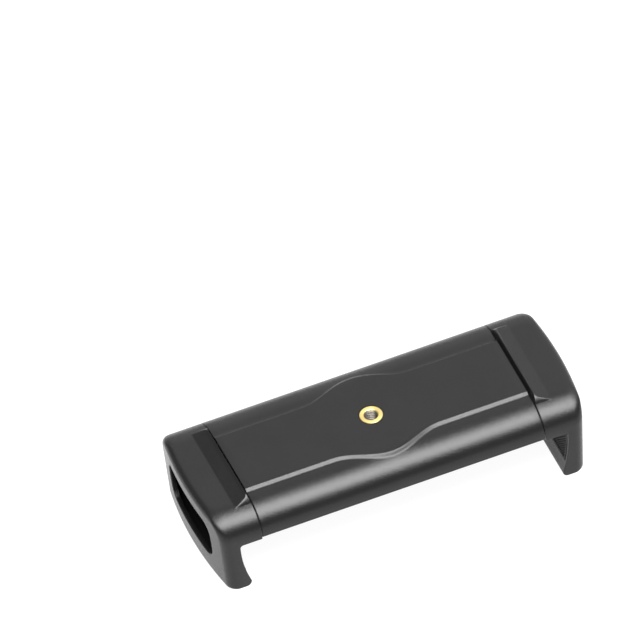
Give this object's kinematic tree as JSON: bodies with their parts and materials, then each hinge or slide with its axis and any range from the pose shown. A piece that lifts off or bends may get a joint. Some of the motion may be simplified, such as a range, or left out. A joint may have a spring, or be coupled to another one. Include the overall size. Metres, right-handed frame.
{
  "type": "tablet tripod mount",
  "caption": "Spring-loaded tablet clamp with sliding hooked jaws, a ribbed rubber front and a brass tripod thread in its back.",
  "frame": {"origin": "under the middle of the clamp, on the plane that both lips stand on", "axes": "+X along the slides towards the right jaw, +Y across the clamp to the far side, +Z out of its back along the tripod thread"},
  "size_m": [0.1598, 0.0636, 0.0376],
  "materials": {
    "satin_black_plastic": "satin black moulded shell with a fine grain",
    "black_plate_plastic": "plain black moulded plate",
    "ribbed_black_rubber": "dull black rubber with moulded slanted ribs",
    "diamond_black_rubber": "dull black rubber with a fine diamond pattern",
    "turned_brass": "bright turned brass",
    "polished_steel": "polished steel rod",
    "spring_steel": "drawn spring steel",
    "zinc_plated_steel": "zinc-plated steel"
  },
  "bodies": {
    "body": {"rear_housing": "satin_black_plastic", "front_frame": "black_plate_plastic", "grip_pad": "ribbed_black_rubber", "thread_insert": "turned_brass", "housing_screw_1": "zinc_plated_steel", "housing_screw_2": "zinc_plated_steel", "housing_screw_3": "zinc_plated_steel", "housing_screw_4": "zinc_plated_steel", "left_spring_near": "spring_steel", "left_spring_far": "spring_steel", "right_spring_near": "spring_steel", "right_spring_far": "spring_steel"},
    "left_jaw": {"left_jaw": "satin_black_plastic", "left_jaw_pad": "diamond_black_rubber", "left_rod_near": "polished_steel", "left_jaw_clip_near": "spring_steel", "left_spring_clip_near": "spring_steel", "left_washer_near": "zinc_plated_steel", "left_rod_far": "polished_steel", "left_jaw_clip_far": "spring_steel", "left_spring_clip_far": "spring_steel", "left_washer_far": "zinc_plated_steel"},
    "right_jaw": {"right_jaw": "satin_black_plastic", "right_jaw_pad": "diamond_black_rubber", "right_rod_near": "polished_steel", "right_jaw_clip_near": "spring_steel", "right_spring_clip_near": "spring_steel", "right_washer_near": "zinc_plated_steel", "right_rod_far": "polished_steel", "right_jaw_clip_far": "spring_steel", "right_spring_clip_far": "spring_steel", "right_washer_far": "zinc_plated_steel"}
  },
  "joints": [
    {"name": "left_slide", "type": "slide", "parent": "body", "child": "left_jaw", "axis": [-1, 0, 0], "range_m": [0, 0.042], "stiffness_N_per_m": 150, "springref_m": -0.067, "deforming": ["left_spring_near", "left_spring_far"]},
    {"name": "right_slide", "type": "slide", "parent": "body", "child": "right_jaw", "axis": [1, 0, 0], "range_m": [0, 0.042], "stiffness_N_per_m": 150, "springref_m": -0.067, "deforming": ["right_spring_near", "right_spring_far"]}
  ]
}
